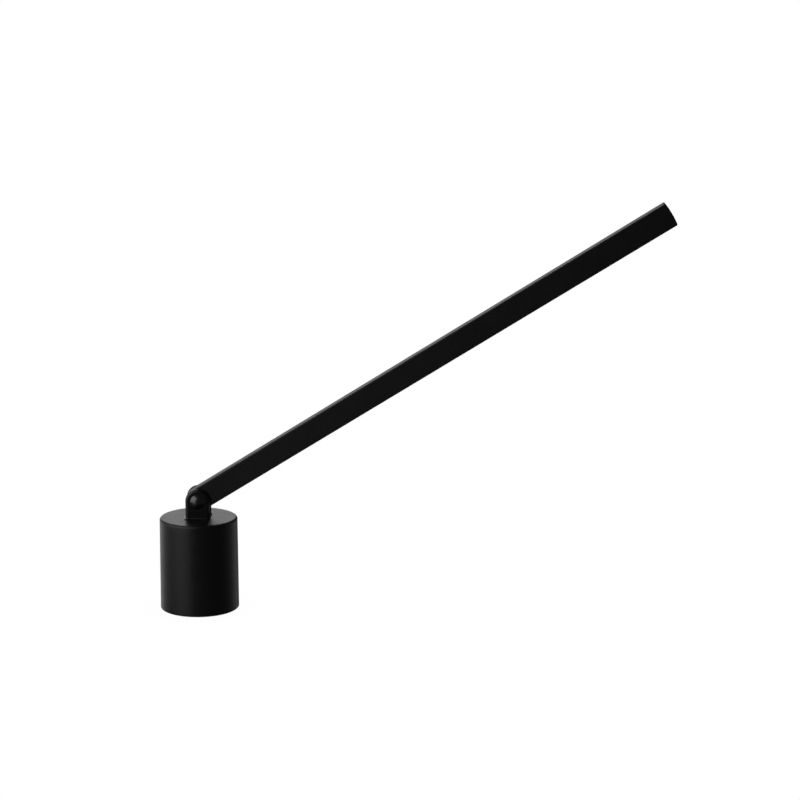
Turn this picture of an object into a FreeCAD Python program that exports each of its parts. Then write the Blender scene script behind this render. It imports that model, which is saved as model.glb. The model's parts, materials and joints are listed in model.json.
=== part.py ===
import FreeCAD, Part
import math
import os

# Candle snuffer: a small cup, open at the bottom, hinged under the end of a long flat handle.
#
# Frame: millimetres, origin at the centre of the cup's mouth, +Z up the cup's axis, +X towards the
# handle, and Y along the hinge pin. The cup stands plumb and the handle rises from the hinge.

# ---- Driving dimensions -------------------------------------------------------------------------

# Cup: a turned shell whose outside widens a little towards the mouth, round a straight bore.
CUP_HEIGHT = 30.4
CUP_TOP_RADIUS = 12.7
CUP_MOUTH_RADIUS = 12.85
CUP_BORE_RADIUS = 11.5
CUP_TOP_THICKNESS = 1.2
CUP_SHOULDER_ROUND = 0.8
CUP_LIP_ROUND = 0.4
CUP_LIP_INNER_ROUND = 0.25
CUP_CEILING_ROUND = 2.6

# Yoke: a cast foot with two ears, the handle's end turning between them. The foot spreads into a
# thin flange where it meets the cup.
YOKE_WIDTH = 7.9
YOKE_DEPTH = 8.0
EAR_THICKNESS = 1.3
FOOT_THICKNESS = 1.4
YOKE_OUTER_ROUND = 0.9
YOKE_INNER_ROUND = 0.15
FLANGE_SPREAD = 0.6
FLANGE_THICKNESS = 0.15
FLANGE_FILLET = 0.55

# Hinge: height of the pin above the cup's top, and the fits round the pin.
PIVOT_RISE = 6.0
PIN_RADIUS = 1.5
EAR_HOLE_CLEARANCE = 0.02
BAR_HOLE_CLEARANCE = 0.06

# Pivot rivet's two domed heads.
FRONT_HEAD_RADIUS = 2.35
FRONT_HEAD_HEIGHT = 1.3
REAR_HEAD_RADIUS = 2.1
REAR_HEAD_HEIGHT = 0.8

# Handle bar: its height grows slightly from the hinge to the tip.
BAR_LENGTH = 179.0
BAR_THICKNESS = 5.0
BAR_HINGE_HEIGHT = 7.5
BAR_TIP_HEIGHT = 8.0
BAR_TIP_CROWN_RADIUS = 24.0
BAR_EDGE_ROUND = 0.4
BAR_CORNER_ROUND = 0.5
HANDLE_ANGLE = 31.8

# Button-head screw with a hexagon socket, and its split lock washer, inside the cup.
SCREW_RADIUS = 1.5
SCREW_HOLE_CLEARANCE = 0.1
SCREW_HEAD_RADIUS = 2.85
SCREW_HEAD_HEIGHT = 1.65
SCREW_HEAD_ROUND = 1.2
SCREW_TIP_SETBACK = 0.1
SOCKET_ACROSS_FLATS = 2.0
SOCKET_DEPTH = 1.0
WASHER_INNER_RADIUS = 1.6
WASHER_OUTER_RADIUS = 2.95
WASHER_THICKNESS = 0.8
WASHER_SPLIT_GAP = 0.5
WASHER_SPLIT_ANGLE = 20.0

# ---- Derived positions --------------------------------------------------------------------------

PIVOT_Z = CUP_HEIGHT + PIVOT_RISE
CEILING_Z = CUP_HEIGHT - CUP_TOP_THICKNESS
FOOT_TOP_Z = CUP_HEIGHT + FOOT_THICKNESS
WASHER_BOTTOM_Z = CEILING_Z - WASHER_THICKNESS
HEAD_BOTTOM_Z = WASHER_BOTTOM_Z - SCREW_HEAD_HEIGHT
EAR_FACE_Y = YOKE_DEPTH / 2
EAR_RADIUS = YOKE_WIDTH / 2

X_AXIS = FreeCAD.Vector(1, 0, 0)
Y_AXIS = FreeCAD.Vector(0, 1, 0)
Z_AXIS = FreeCAD.Vector(0, 0, 1)
ORIGIN = FreeCAD.Vector(0, 0, 0)
NEAR = 1e-4


# ---- Helpers ------------------------------------------------------------------------------------

def post(radius, bottom, top):
    """A cylinder about the cup's axis between two heights."""
    return Part.makeCylinder(radius, top - bottom, FreeCAD.Vector(0, 0, bottom))


def pin(radius, y_start, y_end, height=PIVOT_Z):
    """A cylinder along Y about the hinge's axis."""
    return Part.makeCylinder(radius, y_end - y_start, FreeCAD.Vector(0, y_start, height), Y_AXIS)


def box(low, high):
    """A block between its lowest and highest corners."""
    size = [b - a for a, b in zip(low, high)]
    return Part.makeBox(size[0], size[1], size[2], FreeCAD.Vector(*low))


def ring_edges(shape, radius, height):
    """The full circles about the cup's axis that have this radius and height."""
    found = []
    for edge in shape.Edges:
        curve = edge.Curve
        if isinstance(curve, Part.Circle) and abs(curve.Radius - radius) < NEAR:
            if abs(curve.Center.z - height) < NEAR:
                found.append(edge)
    return found


def edges_in_plane_y(shape, y, skip_radius=None):
    """The edges lying in the plane at this Y, apart from circles of one given radius."""
    found = []
    for edge in shape.Edges:
        bounds = edge.BoundBox
        if abs(bounds.YMin - y) > NEAR or abs(bounds.YMax - y) > NEAR:
            continue
        curve = edge.Curve
        if skip_radius and isinstance(curve, Part.Circle) and abs(curve.Radius - skip_radius) < NEAR:
            continue
        found.append(edge)
    return found


def domed_head(radius, height, face_y, outward):
    """A rivet's head: a cap of a sphere standing on an ear's face, with outward -1 or +1 along Y."""
    sphere_radius = (radius ** 2 + height ** 2) / (2 * height)
    centre_y = face_y + outward * (height - sphere_radius)
    ball = Part.makeSphere(sphere_radius, FreeCAD.Vector(0, centre_y, PIVOT_Z))
    y_far = face_y + outward * height * 2
    slab_start, slab_end = sorted((face_y, y_far))
    return ball.common(pin(radius + 1, slab_start, slab_end))


# ---- Sub-parts ----------------------------------------------------------------------------------

def snuffer_cup():
    """The cup: a closed top, a straight bore open at the bottom, and a hole for the yoke's screw."""
    shell = Part.makeCone(CUP_MOUTH_RADIUS, CUP_TOP_RADIUS, CUP_HEIGHT)
    shell = shell.cut(post(CUP_BORE_RADIUS, -1, CEILING_Z))
    shell = shell.makeFillet(CUP_SHOULDER_ROUND, ring_edges(shell, CUP_TOP_RADIUS, CUP_HEIGHT))
    shell = shell.makeFillet(CUP_LIP_ROUND, ring_edges(shell, CUP_MOUTH_RADIUS, 0))
    shell = shell.makeFillet(CUP_LIP_INNER_ROUND, ring_edges(shell, CUP_BORE_RADIUS, 0))
    shell = shell.makeFillet(CUP_CEILING_ROUND, ring_edges(shell, CUP_BORE_RADIUS, CEILING_Z))
    return shell.cut(post(SCREW_RADIUS + SCREW_HOLE_CLEARANCE, CEILING_Z - 1, CUP_HEIGHT + 1))


def yoke_tongue():
    """The yoke before it is slotted: a straight-sided tongue with a full-round top, edges softened."""
    left = FreeCAD.Vector(-EAR_RADIUS, -EAR_FACE_Y, CUP_HEIGHT)
    right = FreeCAD.Vector(EAR_RADIUS, -EAR_FACE_Y, CUP_HEIGHT)
    left_shoulder = FreeCAD.Vector(-EAR_RADIUS, -EAR_FACE_Y, PIVOT_Z)
    right_shoulder = FreeCAD.Vector(EAR_RADIUS, -EAR_FACE_Y, PIVOT_Z)
    crown = FreeCAD.Vector(0, -EAR_FACE_Y, PIVOT_Z + EAR_RADIUS)
    edges = [
        Part.LineSegment(left, right).toShape(),
        Part.LineSegment(right, right_shoulder).toShape(),
        Part.Arc(right_shoulder, crown, left_shoulder).toShape(),
        Part.LineSegment(left_shoulder, left).toShape(),
    ]
    block = Part.Face(Part.Wire(edges)).extrude(Y_AXIS * YOKE_DEPTH)
    rim = [
        edge
        for y in (-EAR_FACE_Y, EAR_FACE_Y)
        for edge in edges_in_plane_y(block, y)
        if edge.BoundBox.ZMax > CUP_HEIGHT + NEAR
    ]
    return block.makeFillet(YOKE_OUTER_ROUND, rim)


def with_flange(tongue):
    """The tongue on its thin flange, with a hollow fillet between them all the way round."""
    half_x = EAR_RADIUS + FLANGE_SPREAD
    half_y = EAR_FACE_Y + FLANGE_SPREAD
    flange_top = CUP_HEIGHT + FLANGE_THICKNESS
    flange = box((-half_x, -half_y, CUP_HEIGHT), (half_x, half_y, flange_top))
    corners = [edge for edge in flange.Edges if edge.BoundBox.ZLength > NEAR * 2]
    flange = flange.makeFillet(YOKE_OUTER_ROUND + FLANGE_SPREAD, corners)
    body = tongue.fuse(flange).removeSplitter()
    meeting = [edge for edge in body.Edges if lies_round_foot(edge, flange_top)]
    return body.makeFillet(FLANGE_FILLET, meeting)


def lies_round_foot(edge, height):
    """Whether an edge is part of the line where the tongue stands on the flange's top."""
    bounds = edge.BoundBox
    level = abs(bounds.ZMin - height) < NEAR and abs(bounds.ZMax - height) < NEAR
    inside_x = max(-bounds.XMin, bounds.XMax) < EAR_RADIUS + NEAR
    inside_y = max(-bounds.YMin, bounds.YMax) < EAR_FACE_Y + NEAR
    return level and inside_x and inside_y


def yoke():
    """The yoke: two ears rising from one foot, drilled for the pin and tapped for the screw."""
    body = with_flange(yoke_tongue())
    slot_half = EAR_FACE_Y - EAR_THICKNESS
    slot_reach = EAR_RADIUS + FLANGE_SPREAD + 1
    slot = box((-slot_reach, -slot_half, FOOT_TOP_Z), (slot_reach, slot_half, PIVOT_Z + slot_reach))
    body = body.cut(slot)
    ear_tops = [
        edge
        for y in (-slot_half, slot_half)
        for edge in edges_in_plane_y(body, y)
        if isinstance(edge.Curve, Part.Circle)
    ]
    body = body.makeFillet(YOKE_INNER_ROUND, ear_tops)
    body = body.cut(pin(PIN_RADIUS + EAR_HOLE_CLEARANCE, -EAR_FACE_Y - 1, EAR_FACE_Y + 1))
    return body.cut(post(SCREW_RADIUS, CUP_HEIGHT - 1, FOOT_TOP_Z + 1))


def pivot_rivet():
    """The rivet: a plain shank through both ears and the bar, with a domed head at each end."""
    shank = pin(PIN_RADIUS, -EAR_FACE_Y, EAR_FACE_Y)
    front = domed_head(FRONT_HEAD_RADIUS, FRONT_HEAD_HEIGHT, -EAR_FACE_Y, -1)
    rear = domed_head(REAR_HEAD_RADIUS, REAR_HEAD_HEIGHT, EAR_FACE_Y, 1)
    return shank.fuse([front, rear]).removeSplitter()


def yoke_screw():
    """The screw that holds the yoke: button head inside the cup, tip just below the foot's top."""
    head = post(SCREW_HEAD_RADIUS, HEAD_BOTTOM_Z, WASHER_BOTTOM_Z)
    head = head.makeFillet(SCREW_HEAD_ROUND, ring_edges(head, SCREW_HEAD_RADIUS, HEAD_BOTTOM_Z))
    shank = post(SCREW_RADIUS, WASHER_BOTTOM_Z - NEAR, FOOT_TOP_Z - SCREW_TIP_SETBACK)
    screw = head.fuse(shank).removeSplitter()
    corner_radius = SOCKET_ACROSS_FLATS / math.sqrt(3)
    corners = []
    for side in range(7):
        angle = side * math.pi / 3
        corner = (corner_radius * math.cos(angle), corner_radius * math.sin(angle), HEAD_BOTTOM_Z)
        corners.append(FreeCAD.Vector(*corner))
    socket = Part.Face(Part.makePolygon(corners)).extrude(Z_AXIS * SOCKET_DEPTH)
    return screw.cut(socket)


def lock_washer():
    """The split spring washer, pressed flat between the screw's head and the cup's ceiling."""
    ring = post(WASHER_OUTER_RADIUS, WASHER_BOTTOM_Z, CEILING_Z)
    ring = ring.cut(post(WASHER_INNER_RADIUS, WASHER_BOTTOM_Z - 1, CEILING_Z + 1))
    half_gap = WASHER_SPLIT_GAP / 2
    split = box((0, -half_gap, -2), (WASHER_OUTER_RADIUS + 1, half_gap, 2))
    split.rotate(ORIGIN, X_AXIS, WASHER_SPLIT_ANGLE)
    split.translate(Z_AXIS * (CEILING_Z - WASHER_THICKNESS / 2))
    return ring.cut(split)


def bar_outline():
    """The bar lying along +X from the hinge's axis: a full-round end, tapered edges, crowned tip."""
    end_radius = BAR_HINGE_HEIGHT / 2
    tip_half = BAR_TIP_HEIGHT / 2
    crown_drop = BAR_TIP_CROWN_RADIUS - math.sqrt(BAR_TIP_CROWN_RADIUS ** 2 - tip_half ** 2)
    corner_x = BAR_LENGTH - crown_drop
    # Each tapered edge leaves the round end where it is tangent to it.
    tangent_angle = math.atan2(tip_half, corner_x) + math.acos(end_radius / math.hypot(corner_x, tip_half))
    tangent_x = end_radius * math.cos(tangent_angle)
    tangent_z = end_radius * math.sin(tangent_angle)
    front_y = -BAR_THICKNESS / 2
    hinge_top = FreeCAD.Vector(tangent_x, front_y, tangent_z)
    hinge_bottom = FreeCAD.Vector(tangent_x, front_y, -tangent_z)
    hinge_back = FreeCAD.Vector(-end_radius, front_y, 0)
    tip_top = FreeCAD.Vector(corner_x, front_y, tip_half)
    tip_bottom = FreeCAD.Vector(corner_x, front_y, -tip_half)
    tip_middle = FreeCAD.Vector(BAR_LENGTH, front_y, 0)
    edges = [
        Part.LineSegment(hinge_top, tip_top).toShape(),
        Part.Arc(tip_top, tip_middle, tip_bottom).toShape(),
        Part.LineSegment(tip_bottom, hinge_bottom).toShape(),
        Part.Arc(hinge_bottom, hinge_back, hinge_top).toShape(),
    ]
    return Part.Face(Part.Wire(edges)).extrude(Y_AXIS * BAR_THICKNESS)


def handle_bar():
    """The handle: a flat bar with softened edges, drilled for the pin and raised to its rest angle."""
    bar = bar_outline()
    tip_corners = [edge for edge in bar.Edges if edge.BoundBox.XMin > BAR_LENGTH / 2
                   and edge.BoundBox.YLength > BAR_THICKNESS - NEAR]
    bar = bar.makeFillet(BAR_CORNER_ROUND, tip_corners)
    faces_y = (-BAR_THICKNESS / 2, BAR_THICKNESS / 2)
    bar = bar.makeFillet(BAR_EDGE_ROUND, [edge for y in faces_y for edge in edges_in_plane_y(bar, y)])
    hole = pin(PIN_RADIUS + BAR_HOLE_CLEARANCE, -BAR_THICKNESS, BAR_THICKNESS, height=0)
    bar = bar.cut(hole)
    bar.rotate(ORIGIN, Y_AXIS, -HANDLE_ANGLE)
    bar.translate(Z_AXIS * PIVOT_Z)
    return bar


# ---- Output -------------------------------------------------------------------------------------

SUBPARTS = {
    "handle_bar": handle_bar,
    "snuffer_cup": snuffer_cup,
    "yoke": yoke,
    "pivot_rivet": pivot_rivet,
    "yoke_screw": yoke_screw,
    "lock_washer": lock_washer,
}

os.makedirs("parts", exist_ok=True)
for node, make in SUBPARTS.items():
    shape = make()
    shape.exportStep("parts/" + node + ".step")
    bounds = shape.BoundBox
    print(node, "solids", len(shape.Solids), "valid", shape.isValid(), "volume_mm3", round(shape.Volume, 1))
    print("   low", [round(v, 2) for v in (bounds.XMin, bounds.YMin, bounds.ZMin)],
          "high", [round(v, 2) for v in (bounds.XMax, bounds.YMax, bounds.ZMax)])
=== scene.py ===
import json
import math

import bmesh
import bpy
from mathutils import Matrix, Vector


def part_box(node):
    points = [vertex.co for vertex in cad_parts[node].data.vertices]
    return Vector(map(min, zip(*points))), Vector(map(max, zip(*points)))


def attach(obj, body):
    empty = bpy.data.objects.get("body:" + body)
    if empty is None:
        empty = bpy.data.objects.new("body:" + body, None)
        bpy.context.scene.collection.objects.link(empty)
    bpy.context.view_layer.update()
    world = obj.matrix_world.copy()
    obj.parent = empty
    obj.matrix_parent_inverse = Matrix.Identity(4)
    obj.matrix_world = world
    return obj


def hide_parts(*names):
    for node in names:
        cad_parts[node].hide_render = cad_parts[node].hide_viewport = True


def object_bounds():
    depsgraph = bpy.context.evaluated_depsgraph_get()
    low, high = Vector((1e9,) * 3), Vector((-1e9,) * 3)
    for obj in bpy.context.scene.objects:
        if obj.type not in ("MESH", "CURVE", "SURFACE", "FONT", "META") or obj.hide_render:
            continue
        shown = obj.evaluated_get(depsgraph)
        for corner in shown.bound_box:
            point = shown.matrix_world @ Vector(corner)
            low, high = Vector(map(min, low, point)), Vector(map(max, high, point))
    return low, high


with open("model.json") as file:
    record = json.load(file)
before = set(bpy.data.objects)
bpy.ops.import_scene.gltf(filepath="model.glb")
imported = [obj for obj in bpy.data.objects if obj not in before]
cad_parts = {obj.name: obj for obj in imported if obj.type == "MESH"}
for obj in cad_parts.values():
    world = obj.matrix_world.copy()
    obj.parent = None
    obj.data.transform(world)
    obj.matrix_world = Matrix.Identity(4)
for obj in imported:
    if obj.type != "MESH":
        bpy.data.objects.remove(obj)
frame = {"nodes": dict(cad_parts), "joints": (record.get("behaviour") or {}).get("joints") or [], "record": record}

# A candle snuffer in satin black: a small cup hinged by a yoke and a domed rivet to a long flat bar.
# The yoke keeps its CAD mesh. The other five pieces are meshes built here, on the CAD pieces' sizes.

cad_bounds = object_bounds()
MM = 0.001

# ---- View ---------------------------------------------------------------------------------------

VIEW_AZIMUTH = 0.8
VIEW_ELEVATION = 12.4
VIEW_DISTANCE = 0.84
LENS = 117.0
SENSOR_WIDTH = 36.0
AIM_SHIFT = Vector((-4.68, 0.0, 2.73)) * MM

# ---- Light ---------------------------------------------------------------------------------------

# Soft boxes round the hinge: azimuth, elevation and spread in degrees, distance in metres, radiance.
PANELS = (
    ("key_low", -57, 4, 68, 30, 0.38, 1.0),
    ("key_high", -57, 37, 68, 34, 0.38, 1.25),
    ("back", -168, 21, 36, 42, 0.8, 1.08),
    ("back_low", -166, -12, 26, 24, 0.8, 0.95),
    ("back_low_left", -138, -14, 30, 28, 0.8, 0.6),
    ("back_low_right", 140, -16, 36, 28, 0.8, 0.27),
    ("rear_left", -113, 5, 44, 44, 0.8, 0.42),
    ("low_front", -45, -24, 40, 18, 0.7, 0.34),
    ("rear_right", 108, 2, 40, 40, 0.8, 0.1),
    ("under", 0, -89, 50, 50, 0.5, 0.6),
)
AMBIENT = 0.04
FLOOR_SIZE = 30.0
# The floor's painted shadow: how far it reaches from the cup, its darkest glow and its occlusion samples.
SHADOW_REACH = 12 * MM
SHADOW_TONE = 0.96
SHADOW_SAMPLES = 8

# ---- Looks ---------------------------------------------------------------------------------------

# The middle part of a noise's range that is spread over a whole range of tone or of gloss.
TONE_BAND = (0.35, 0.65)
GLOSS_BAND = (0.3, 0.7)

# Powder coat: the two blacks it drifts between, and the size of its blotches, orange peel and grain.
COAT_BLACKS = ((0.0052, 0.0052, 0.0056), (0.0068, 0.0067, 0.0068))
COAT_BLOTCH = 6 * MM
COAT_PEEL = 0.9 * MM
COAT_PEEL_DEPTH = 0.02 * MM
COAT_GRAIN_DEPTH = 0.006 * MM
COAT_GRAIN_STRENGTH = 0.5
COAT_GLOSS_DRIFT = 0.02
COAT_GLOSS_GRAIN = 0.03

# Coats: roughness, grain size, strength of the orange peel, and index of refraction.
HANDLE_COAT = (0.5, 0.16 * MM, 0.35, 1.5)
CUP_COAT = (0.38, 0.14 * MM, 0.3, 1.5)
HINGE_COAT = (0.28, 0.12 * MM, 0.25, 1.5)
RIVET_BLACK = (0.27, 0.2 * MM, 0.15, 1.9)

# Zinc plate: the two greys and roughnesses of its mottling, and its fine scratches, which lie across Z.
ZINC_GREYS = ((0.44, 0.45, 0.47), (0.62, 0.62, 0.61))
ZINC_ROUGHNESS = (0.30, 0.46)
ZINC_MOTTLE = 0.5 * MM
ZINC_SCRATCH = 0.08 * MM
ZINC_SCRATCH_SQUEEZE = (1.0, 1.0, 12.0)
ZINC_SCRATCH_DEPTH = 0.004 * MM
ZINC_SCRATCH_STRENGTH = 0.5

# ---- Sizes that the frame doesn't state ----------------------------------------------------------

CUP_TAPER = 0.15 * MM
CUP_SHOULDER_ROUND = 0.8 * MM
CUP_LIP_ROUND = 0.4 * MM
CUP_LIP_INNER_ROUND = 0.25 * MM
CUP_CEILING_ROUND = 2.6 * MM
CUP_HOLE_CLEARANCE = 0.1 * MM
CUP_SIDES = 288
CUP_WALL_ROWS = 24
CUP_FLAT_ROWS = 10
CUP_SHOULDER_STEPS = 10
CUP_LIP_STEPS = 8
CUP_LIP_INNER_STEPS = 5
CUP_CEILING_STEPS = 12

BAR_EDGE_ROUND = 0.4 * MM
BAR_CORNER_ROUND = 0.5 * MM
BAR_CROWN_RADIUS = 24 * MM
BAR_HOLE_CLEARANCE = 0.06 * MM
BAR_HOLE_EDGE_ROUND = 0.1 * MM
BAR_EDGE_STEPS = 6
BAR_CORNER_STEPS = 8
BAR_CROWN_STEPS = 16
BAR_HINGE_END_STEPS = 48
BAR_COLUMN_LENGTH = 4 * MM

RIVET_SIDES = 96
REAR_HEAD_RADIUS = 2.1 * MM
SHANK_RADIUS = 1.5 * MM
HEAD_RIM = 0.12 * MM
DOME_STEPS = 16

SCREW_SIDES = 96
SCREW_HEAD_ROUND = 1.2 * MM
SCREW_HEAD_STEPS = 10
SOCKET_ACROSS_FLATS = 2.0 * MM
SOCKET_DEPTH = 1.0 * MM
SOCKET_BEVEL = 0.12 * MM
SOCKET_FLOOR_DROP = 0.3 * MM
THREAD_PITCH = 0.5 * MM
THREAD_DEPTH = 0.25 * MM
THREAD_ROWS_PER_TURN = 10

WASHER_GAP = 0.5 * MM
WASHER_SLANT = math.radians(20)
WASHER_INNER_RADIUS = 1.6 * MM
WASHER_EDGE_ROUND = 0.1 * MM
WASHER_EDGE_STEPS = 3
WASHER_STEPS = 120

HOLE_SIDES = 64
WELD_DISTANCE = 1e-8
SHARP_ANGLE = math.radians(35)


# ---- Places from the frame ----------------------------------------------------------------------

PIVOT = Vector(frame["joints"][0]["pos_m"])
MOUNTS = {mount["name"]: mount for mount in frame["record"]["mounts"]}
ALONG_BAR = Vector(MOUNTS["grip"]["axis"]).normalized()
PIN_AXIS = Vector((0, 1, 0))
ACROSS_BAR = ALONG_BAR.cross(PIN_AXIS)
BAR_FRAME = Matrix((ALONG_BAR, PIN_AXIS, ACROSS_BAR)).transposed()


def box_along_bar():
    """The bar's lowest and highest corners in its own axes: along it, along the pin, across it."""
    to_bar = BAR_FRAME.transposed()
    points = [to_bar @ (vertex.co - PIVOT) for vertex in frame["nodes"]["handle_bar"].data.vertices]
    low = Vector([min(point[axis] for point in points) for axis in range(3)])
    high = Vector([max(point[axis] for point in points) for axis in range(3)])
    return low, high


def ear_face():
    """How far the yoke's outer faces stand from the handle's plane, read above its flange."""
    return max(v.co.y for v in frame["nodes"]["yoke"].data.vertices if v.co.z > PIVOT.z)


# ---- Outlines -----------------------------------------------------------------------------------

def arc(centre, radius, start, end, steps):
    """Points along a circular arc between two angles in degrees, both ends included."""
    points = []
    for step in range(steps + 1):
        angle = math.radians(start + (end - start) * step / steps)
        points.append((centre[0] + radius * math.cos(angle), centre[1] + radius * math.sin(angle)))
    return points


def straight(start, end, steps):
    """Points between two places, neither end included."""
    return [
        (start[0] + (end[0] - start[0]) * step / steps, start[1] + (end[1] - start[1]) * step / steps)
        for step in range(1, steps)
    ]


# ---- Mesh building ------------------------------------------------------------------------------

def skin(builder, rings, joined_ends=False):
    """Quads between closed rings of points that all have the same count. Returns the rings' vertices."""
    rows = [[builder.verts.new(point) for point in ring] for ring in rings]
    pairs = list(zip(rows, rows[1:]))
    if joined_ends:
        pairs.append((rows[-1], rows[0]))
    for first, second in pairs:
        count = len(first)
        for i in range(count):
            j = (i + 1) % count
            builder.faces.new((first[i], first[j], second[j], second[i]))
    return rows


def turned(profile, sides, place):
    """Rings of points for a lathe. place(radius, height, angle) says where each point is."""
    return [
        [place(radius, height, 2 * math.pi * side / sides) for side in range(sides)]
        for radius, height in profile
    ]


def about_cup(radius, height, angle):
    """A point at a radius from the cup's axis and a height above its mouth."""
    return Vector((radius * math.cos(angle), radius * math.sin(angle), height))


def about_pin(radius, along, angle):
    """A point at a radius from the hinge pin's axis and a distance along it."""
    return PIVOT + Vector((radius * math.cos(angle), along, radius * math.sin(angle)))


def make_piece(name, builder, body, node, material):
    """Turns a finished mesh into a smooth-shaded piece that rides on a body in a CAD node's place."""
    bmesh.ops.remove_doubles(builder, verts=builder.verts, dist=WELD_DISTANCE)
    bmesh.ops.recalc_face_normals(builder, faces=builder.faces)
    mesh = bpy.data.meshes.new(name)
    builder.to_mesh(mesh)
    builder.free()
    mesh.polygons.foreach_set("use_smooth", [True] * len(mesh.polygons))
    mesh.set_sharp_from_angle(angle=SHARP_ANGLE)
    mesh.materials.append(material)
    piece = bpy.data.objects.new(name, mesh)
    bpy.context.scene.collection.objects.link(piece)
    normals = piece.modifiers.new("even_normals", "WEIGHTED_NORMAL")
    normals.keep_sharp = True
    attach(piece, body)
    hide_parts(node)
    return piece


# ---- Pieces -------------------------------------------------------------------------------------

def cup(material):
    """The cup: one closed section turned about its axis, wall, lip, bore, ceiling and screw hole."""
    low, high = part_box("snuffer_cup")
    height = high.z
    mouth_radius = min(high.x, -low.x)
    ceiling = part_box("lock_washer")[1].z
    bore = MOUNTS["cup_mouth"]["dims"]["r_mm"] * MM
    hole = SHANK_RADIUS + CUP_HOLE_CLEARANCE
    slope = math.atan(CUP_TAPER / height)
    slope_degrees = math.degrees(slope)

    def wall_centre(round_radius, centre_height):
        wall = mouth_radius - CUP_TAPER * centre_height / height
        return (wall - round_radius / math.cos(slope), centre_height)

    shoulder_centre = wall_centre(CUP_SHOULDER_ROUND, height - CUP_SHOULDER_ROUND)
    lip_centre = wall_centre(CUP_LIP_ROUND, CUP_LIP_ROUND)
    inner_lip_centre = (bore + CUP_LIP_INNER_ROUND, CUP_LIP_INNER_ROUND)
    ceiling_centre = (bore - CUP_CEILING_ROUND, ceiling - CUP_CEILING_ROUND)
    shoulder = arc(shoulder_centre, CUP_SHOULDER_ROUND, 90, slope_degrees, CUP_SHOULDER_STEPS)
    lip = arc(lip_centre, CUP_LIP_ROUND, slope_degrees, -90, CUP_LIP_STEPS)
    inner_lip = arc(inner_lip_centre, CUP_LIP_INNER_ROUND, 270, 180, CUP_LIP_INNER_STEPS)
    ceiling_round = arc(ceiling_centre, CUP_CEILING_ROUND, 0, 90, CUP_CEILING_STEPS)
    profile = [(hole, height)]
    profile += straight((hole, height), shoulder[0], CUP_FLAT_ROWS)
    profile += shoulder + straight(shoulder[-1], lip[0], CUP_WALL_ROWS) + lip
    profile += inner_lip + straight(inner_lip[-1], ceiling_round[0], CUP_WALL_ROWS) + ceiling_round
    profile += straight(ceiling_round[-1], (hole, ceiling), CUP_FLAT_ROWS) + [(hole, ceiling)]
    builder = bmesh.new()
    skin(builder, turned(profile, CUP_SIDES, about_cup), joined_ends=True)
    return make_piece("cup_shell", builder, "cup", "snuffer_cup", material)


def bar_outline(low, high):
    """The bar's outline along and across it: crowned tip, rounded corners and full-round hinge end."""
    end_radius = -low.x
    tip_half = high.z
    crown_centre = high.x - BAR_CROWN_RADIUS
    corner_z = tip_half - BAR_CORNER_ROUND
    corner_x = crown_centre + math.sqrt((BAR_CROWN_RADIUS - BAR_CORNER_ROUND) ** 2 - corner_z ** 2)
    crown_turn = math.degrees(math.atan2(corner_z, corner_x - crown_centre))
    taper = math.degrees(math.asin((tip_half - end_radius) / corner_x))
    upper_corner = arc((corner_x, corner_z), BAR_CORNER_ROUND, 90 + taper, crown_turn, BAR_CORNER_STEPS)
    lower_corner = arc((corner_x, -corner_z), BAR_CORNER_ROUND, -crown_turn, -90 - taper, BAR_CORNER_STEPS)
    crown = arc((crown_centre, 0), BAR_CROWN_RADIUS, crown_turn, -crown_turn, BAR_CROWN_STEPS)[1:-1]
    hinge_end = arc((0, 0), end_radius, 270 - taper, 90 + taper, BAR_HINGE_END_STEPS)
    columns = round(corner_x / BAR_COLUMN_LENGTH)
    top = straight(hinge_end[-1], upper_corner[0], columns)
    bottom = straight(lower_corner[-1], hinge_end[0], columns)
    return top + upper_corner + crown + lower_corner + bottom + hinge_end


def rounded_rim(outline, half_thickness, round_radius):
    """Rings that carry an outline over a plate's edge, from one face to the other, its corners rounded."""
    count = len(outline)
    facing = []
    for i in range(count):
        before = Vector(outline[i - 1])
        after = Vector(outline[(i + 1) % count])
        step = (after - before).normalized()
        facing.append(Vector((step.y, -step.x)))
    quarter = [math.pi / 2 * step / BAR_EDGE_STEPS for step in range(BAR_EDGE_STEPS + 1)]
    section = [(angle, 1) for angle in reversed(quarter)] + [(angle, -1) for angle in quarter]
    rings = []
    for angle, side in section:
        inset = round_radius * (1 - math.cos(angle))
        height = side * (half_thickness - round_radius + round_radius * math.sin(angle))
        ring = []
        for point, normal in zip(outline, facing):
            x, z = Vector(point) + normal * inset
            ring.append(PIVOT + BAR_FRAME @ Vector((x, height, z)))
        rings.append(ring)
    return rings


def bar(material):
    """The handle: a rounded rim round its outline and round its hole, and two flat faces between."""
    low, high = box_along_bar()
    half_thickness = high.y
    hole_radius = SHANK_RADIUS + BAR_HOLE_CLEARANCE
    hole = arc((0, 0), hole_radius, 0, 360, HOLE_SIDES)[:-1]
    builder = bmesh.new()
    rim_rows = skin(builder, rounded_rim(bar_outline(low, high), half_thickness, BAR_EDGE_ROUND))
    hole_rows = skin(builder, rounded_rim(hole, half_thickness, BAR_HOLE_EDGE_ROUND))
    for end in (0, -1):
        edges = []
        for rows in (rim_rows, hole_rows):
            ring = rows[end]
            edges += [builder.edges.get((ring[i - 1], ring[i])) for i in range(len(ring))]
        bmesh.ops.triangle_fill(builder, edges=edges, use_beauty=True)
    return make_piece("handle_flat_bar", builder, "handle", "handle_bar", material)


def dome(radius, height, face, outward):
    """A rivet head's profile from its rim to its pole: a low upright rim, then a cap of a sphere."""
    cap_height = height - HEAD_RIM
    sphere = (radius ** 2 + cap_height ** 2) / (2 * cap_height)
    rim_angle = math.asin(radius / sphere)
    profile = [(radius, face)]
    for step in range(DOME_STEPS + 1):
        angle = rim_angle * (1 - step / DOME_STEPS)
        rise = HEAD_RIM + cap_height - sphere * (1 - math.cos(angle))
        profile.append((sphere * math.sin(angle), face + outward * rise))
    return profile


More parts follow.
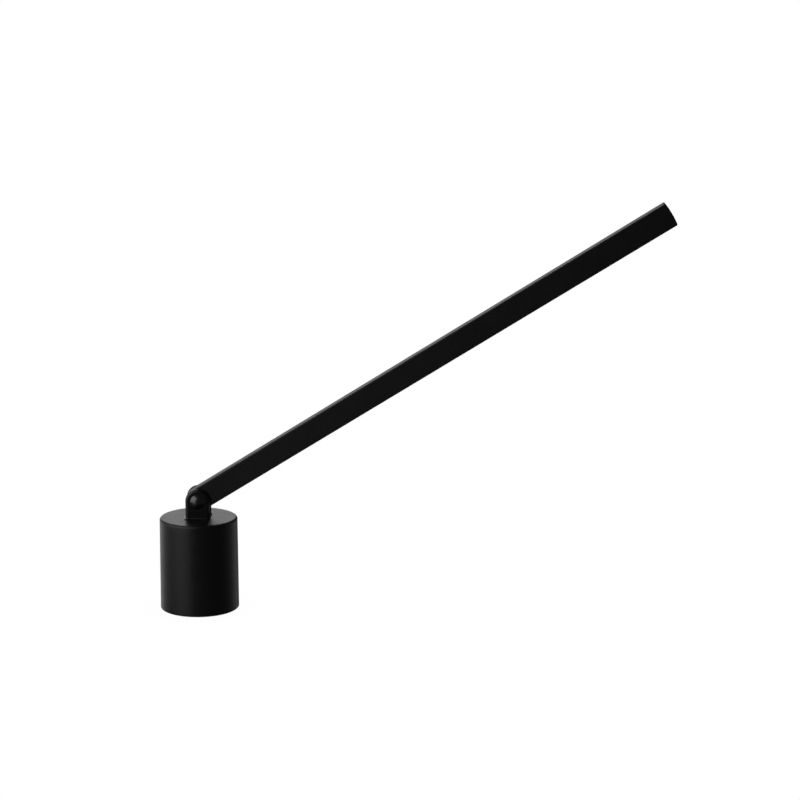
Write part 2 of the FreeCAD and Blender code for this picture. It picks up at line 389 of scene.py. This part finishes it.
def rivet(material):
    """The pivot rivet: a shank through the hinge with a domed head on each side."""
    low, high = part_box("pivot_rivet")
    face = ear_face()
    front = dome(high.x, -face - low.y, -face, -1)
    rear = dome(REAR_HEAD_RADIUS, high.y - face, face, 1)
    profile = list(reversed(front)) + [(SHANK_RADIUS, -face), (SHANK_RADIUS, face)] + rear
    builder = bmesh.new()
    skin(builder, turned(profile, RIVET_SIDES, about_pin))
    return make_piece("rivet", builder, "cup", "pivot_rivet", material)


def hexagon(across_flats, height, sides):
    """A ring of points on a hexagon about the cup's axis."""
    ring = []
    for side in range(sides):
        angle = 2 * math.pi * side / sides
        from_flat = angle % (math.pi / 3) - math.pi / 6
        ring.append(about_cup(across_flats / 2 / math.cos(from_flat), height, angle))
    return ring


def thread(bottom, top, sides):
    """Rings of a right-hand thread between two heights, fading out at both ends."""
    rows = round((top - bottom) / THREAD_PITCH * THREAD_ROWS_PER_TURN)
    rings = []
    for row in range(rows + 1):
        height = bottom + (top - bottom) * row / rows
        fade = min(1, (height - bottom) / THREAD_PITCH, (top - height) / THREAD_PITCH)
        ring = []
        for side in range(sides):
            angle = 2 * math.pi * side / sides
            turn = (height / THREAD_PITCH - angle / (2 * math.pi)) % 1
            groove = 1 - abs(2 * turn - 1)
            ring.append(about_cup(SHANK_RADIUS - THREAD_DEPTH * groove * fade, height, angle))
        rings.append(ring)
    return rings


def screw(material):
    """The button-head screw: hexagon socket, rounded head, and a threaded shank."""
    low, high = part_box("yoke_screw")
    head_bottom = low.z
    head_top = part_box("lock_washer")[0].z
    socket_rim = SOCKET_ACROSS_FLATS / math.sqrt(3) + SOCKET_BEVEL
    socket_top = head_bottom + SOCKET_DEPTH
    head_centre = (high.x - SCREW_HEAD_ROUND, head_bottom + SCREW_HEAD_ROUND)
    head_side = arc(head_centre, SCREW_HEAD_ROUND, -90, 0, SCREW_HEAD_STEPS)
    head = [(socket_rim, head_bottom)] + head_side + [(high.x, head_top)]
    rings = turned([(0, socket_top + SOCKET_FLOOR_DROP)], SCREW_SIDES, about_cup)
    rings.append(hexagon(SOCKET_ACROSS_FLATS, socket_top, SCREW_SIDES))
    rings.append(hexagon(SOCKET_ACROSS_FLATS, head_bottom + SOCKET_BEVEL, SCREW_SIDES))
    rings += turned(head, SCREW_SIDES, about_cup)
    rings += thread(head_top, high.z, SCREW_SIDES)
    rings += turned([(SHANK_RADIUS - THREAD_DEPTH, high.z), (0, high.z)], SCREW_SIDES, about_cup)
    builder = bmesh.new()
    skin(builder, rings)
    return make_piece("button_screw", builder, "cup", "yoke_screw", material)


def washer(material):
    """The split washer: a rounded rectangular section carried round to a slanted gap."""
    low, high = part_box("lock_washer")
    middle = (low.z + high.z) / 2
    half_height = (high.z - low.z) / 2
    outer = -low.x
    edge = WASHER_EDGE_ROUND
    inner_x = WASHER_INNER_RADIUS + edge
    outer_x = outer - edge
    top_z = half_height - edge
    section = []
    corners = ((outer_x, top_z, 0), (inner_x, top_z, 90), (inner_x, -top_z, 180), (outer_x, -top_z, 270))
    for radius, height, start in corners:
        section += arc((radius, height), edge, start, start + 90, WASHER_EDGE_STEPS)
    rings = []
    for step in range(WASHER_STEPS + 1):
        ring = []
        for radius, height in section:
            half_gap = WASHER_GAP / 2 / radius
            slant = -math.tan(WASHER_SLANT) * height / radius
            angle = half_gap + slant + (2 * math.pi - 2 * half_gap) * step / WASHER_STEPS
            ring.append(about_cup(radius, middle + height, angle))
        rings.append(ring)
    builder = bmesh.new()
    rows = skin(builder, rings)
    builder.faces.new(rows[0])
    builder.faces.new(rows[-1])
    return make_piece("split_washer", builder, "cup", "lock_washer", material)


# ---- Materials ----------------------------------------------------------------------------------

class Shade:
    """A material's node tree, with short ways to add the nodes used here."""

    def __init__(self, name):
        self.material = bpy.data.materials.new(name)
        self.material.use_nodes = True
        self.tree = self.material.node_tree
        self.shader = self.tree.nodes["Principled BSDF"]
        self.place = self.add("ShaderNodeTexCoord").outputs["Object"]

    def add(self, kind, **settings):
        node = self.tree.nodes.new(kind)
        for key, value in settings.items():
            setattr(node, key, value)
        return node

    def link(self, output, target):
        self.tree.links.new(output, target)

    def noise(self, size, detail, squeeze=None):
        """Noise whose blotches are about this size in metres, squeezed along some axes if asked."""
        place = self.place
        if squeeze:
            mapping = self.add("ShaderNodeMapping")
            mapping.inputs["Scale"].default_value = squeeze
            self.link(place, mapping.inputs["Vector"])
            place = mapping.outputs["Vector"]
        node = self.add("ShaderNodeTexNoise")
        node.inputs["Scale"].default_value = 1 / size
        node.inputs["Detail"].default_value = detail
        self.link(place, node.inputs["Vector"])
        return node.outputs["Fac"]

    def spread(self, value, low, high, out_low, out_high):
        """A value's range carried to another one, clamped at its ends."""
        node = self.add("ShaderNodeMapRange")
        ends = {"From Min": low, "From Max": high, "To Min": out_low, "To Max": out_high}
        for key, number in ends.items():
            node.inputs[key].default_value = number
        self.link(value, node.inputs["Value"])
        return node.outputs["Result"]

    def sum(self, first, second):
        node = self.add("ShaderNodeMath", operation="ADD")
        self.link(first, node.inputs[0])
        self.link(second, node.inputs[1])
        return node.outputs["Value"]

    def colours(self, value, first, second):
        """A blend from one colour to another."""
        node = self.add("ShaderNodeMix", data_type="RGBA")
        self.link(value, node.inputs["Factor"])
        ends = {"A": first, "B": second}
        for socket in node.inputs:
            if socket.type == "RGBA":
                socket.default_value = (*ends[socket.name], 1)
        return next(socket for socket in node.outputs if socket.type == "RGBA")

    def bump(self, height, depth, strength, below=None):
        """A bump of this depth in metres, laid over another one if given."""
        node = self.add("ShaderNodeBump")
        node.inputs["Strength"].default_value = strength
        node.inputs["Distance"].default_value = depth
        self.link(height, node.inputs["Height"])
        if below:
            self.link(below, node.inputs["Normal"])
        return node.outputs["Normal"]


def black_coat(name, roughness, grain, peel_strength, ior):
    """Satin powder coat: fine grain over a soft orange peel, a little uneven in gloss and tone."""
    shade = Shade(name)
    shader = shade.shader
    shader.inputs["IOR"].default_value = ior
    blotch = shade.noise(COAT_BLOTCH, detail=3)
    speck = shade.noise(grain, detail=2)
    peel = shade.noise(COAT_PEEL, detail=1)
    tone = shade.colours(shade.spread(blotch, *TONE_BAND, 0, 1), *COAT_BLACKS)
    shade.link(tone, shader.inputs["Base Color"])
    smoothest = roughness - COAT_GLOSS_DRIFT
    roughest = roughness + COAT_GLOSS_DRIFT
    broad = shade.spread(blotch, *GLOSS_BAND, smoothest, roughest)
    fine = shade.spread(speck, *GLOSS_BAND, -COAT_GLOSS_GRAIN, COAT_GLOSS_GRAIN)
    shade.link(shade.sum(broad, fine), shader.inputs["Roughness"])
    soft = shade.bump(peel, COAT_PEEL_DEPTH, peel_strength)
    shade.link(shade.bump(speck, COAT_GRAIN_DEPTH, COAT_GRAIN_STRENGTH, soft), shader.inputs["Normal"])
    return shade.material


def zinc(name):
    """Dull zinc plate on steel: metal, mottled in tone and gloss, with fine scratches."""
    shade = Shade(name)
    shader = shade.shader
    shader.inputs["Metallic"].default_value = 1.0
    cells = shade.noise(ZINC_MOTTLE, detail=3)
    scratches = shade.noise(ZINC_SCRATCH, detail=2, squeeze=ZINC_SCRATCH_SQUEEZE)
    tone = shade.colours(shade.spread(cells, *TONE_BAND, 0, 1), *ZINC_GREYS)
    shade.link(tone, shader.inputs["Base Color"])
    shade.link(shade.spread(cells, *GLOSS_BAND, *ZINC_ROUGHNESS), shader.inputs["Roughness"])
    shade.link(shade.bump(scratches, ZINC_SCRATCH_DEPTH, ZINC_SCRATCH_STRENGTH), shader.inputs["Normal"])
    return shade.material


# ---- Studio -------------------------------------------------------------------------------------

def direction(azimuth, elevation):
    """The unit vector towards an azimuth and elevation in degrees; azimuth 0 is in front, at -Y."""
    a = math.radians(azimuth)
    e = math.radians(elevation)
    return Vector((math.sin(a) * math.cos(e), -math.cos(a) * math.cos(e), math.sin(e)))


def aim(thing, target, towards, distance):
    """Puts a thing at a distance from the target in one direction, looking back at the target."""
    thing.location = target + towards * distance
    thing.rotation_mode = "QUATERNION"
    thing.rotation_quaternion = (-towards).to_track_quat("-Z", "Y")
    bpy.context.scene.collection.objects.link(thing)


def add_camera():
    low, high = cad_bounds
    data = bpy.data.cameras.new("camera")
    data.lens = LENS
    data.sensor_width = SENSOR_WIDTH
    camera = bpy.data.objects.new("camera", data)
    aim(camera, (low + high) / 2 + AIM_SHIFT, direction(VIEW_AZIMUTH, VIEW_ELEVATION), VIEW_DISTANCE)
    bpy.context.scene.camera = camera


def add_panel(name, azimuth, elevation, wide, tall, distance, radiance):
    """A soft box facing the hinge. Its radiance is what a mirror at the hinge would show."""
    data = bpy.data.lights.new(name, "AREA")
    data.shape = "RECTANGLE"
    data.size = 2 * distance * math.tan(math.radians(wide / 2))
    data.size_y = 2 * distance * math.tan(math.radians(tall / 2))
    data.energy = radiance * math.pi * data.size * data.size_y
    panel = bpy.data.objects.new(name, data)
    panel.visible_camera = False
    aim(panel, PIVOT, direction(azimuth, elevation), distance)


def add_floor():
    """A plain white floor under the cup's rim that glows evenly, with a faint painted shadow where the cup stands.
    """
    mesh = bpy.data.meshes.new("floor")
    half = FLOOR_SIZE / 2
    corners = [(-half, -half, 0), (half, -half, 0), (half, half, 0), (-half, half, 0)]
    mesh.from_pydata(corners, [], [(0, 1, 2, 3)])
    floor = bpy.data.objects.new("floor", mesh)
    bpy.context.scene.collection.objects.link(floor)
    for ray in ("diffuse", "glossy", "transmission", "shadow"):
        setattr(floor, "visible_" + ray, False)
    material = bpy.data.materials.new("white_floor")
    material.use_nodes = True
    tree = material.node_tree
    tree.nodes.clear()
    # Painted shadow: ambient occlusion near the cup dims the floor's glow, down to SHADOW_TONE.
    near = tree.nodes.new("ShaderNodeAmbientOcclusion")
    near.inputs["Distance"].default_value = SHADOW_REACH
    near.samples = SHADOW_SAMPLES
    tone = tree.nodes.new("ShaderNodeMapRange")
    tone.inputs["To Min"].default_value = SHADOW_TONE
    tree.links.new(near.outputs["AO"], tone.inputs["Value"])
    glow = tree.nodes.new("ShaderNodeEmission")
    tree.links.new(tone.outputs["Result"], glow.inputs["Strength"])
    clear = tree.nodes.new("ShaderNodeBsdfTransparent")
    side = tree.nodes.new("ShaderNodeNewGeometry")
    either = tree.nodes.new("ShaderNodeMixShader")
    tree.links.new(side.outputs["Backfacing"], either.inputs[0])
    tree.links.new(glow.outputs[0], either.inputs[1])
    tree.links.new(clear.outputs[0], either.inputs[2])
    end = tree.nodes.new("ShaderNodeOutputMaterial")
    tree.links.new(either.outputs[0], end.inputs["Surface"])
    mesh.materials.append(material)


def add_world(ambient):
    """White where the camera looks past the object, and a dim even fill for everything else."""
    world = bpy.data.worlds.new("world")
    bpy.context.scene.world = world
    world.use_nodes = True
    tree = world.node_tree
    fill = tree.nodes["Background"]
    fill.inputs["Color"].default_value = (ambient, ambient, ambient, 1)
    backdrop = tree.nodes.new("ShaderNodeBackground")
    backdrop.inputs["Color"].default_value = (1, 1, 1, 1)
    path = tree.nodes.new("ShaderNodeLightPath")
    either = tree.nodes.new("ShaderNodeMixShader")
    tree.links.new(path.outputs["Is Camera Ray"], either.inputs[0])
    tree.links.new(fill.outputs[0], either.inputs[1])
    tree.links.new(backdrop.outputs[0], either.inputs[2])
    tree.links.new(either.outputs[0], tree.nodes["World Output"].inputs[0])


# ---- Scene --------------------------------------------------------------------------------------

add_camera()
for panel in PANELS:
    add_panel(*panel)
add_world(AMBIENT)
add_floor()
bpy.context.scene.view_settings.view_transform = "Standard"

handle_coat = black_coat("handle_powder_coat", *HANDLE_COAT)
cup_coat = black_coat("cup_powder_coat", *CUP_COAT)
hinge_coat = black_coat("hinge_coat", *HINGE_COAT)
rivet_black = black_coat("black_oxide", *RIVET_BLACK)
plated = zinc("zinc_plate")

bar(handle_coat)
cup(cup_coat)
rivet(rivet_black)
screw(plated)
washer(plated)
yoke = frame["nodes"]["yoke"]
yoke.data.materials.clear()
yoke.data.materials.append(hinge_coat)
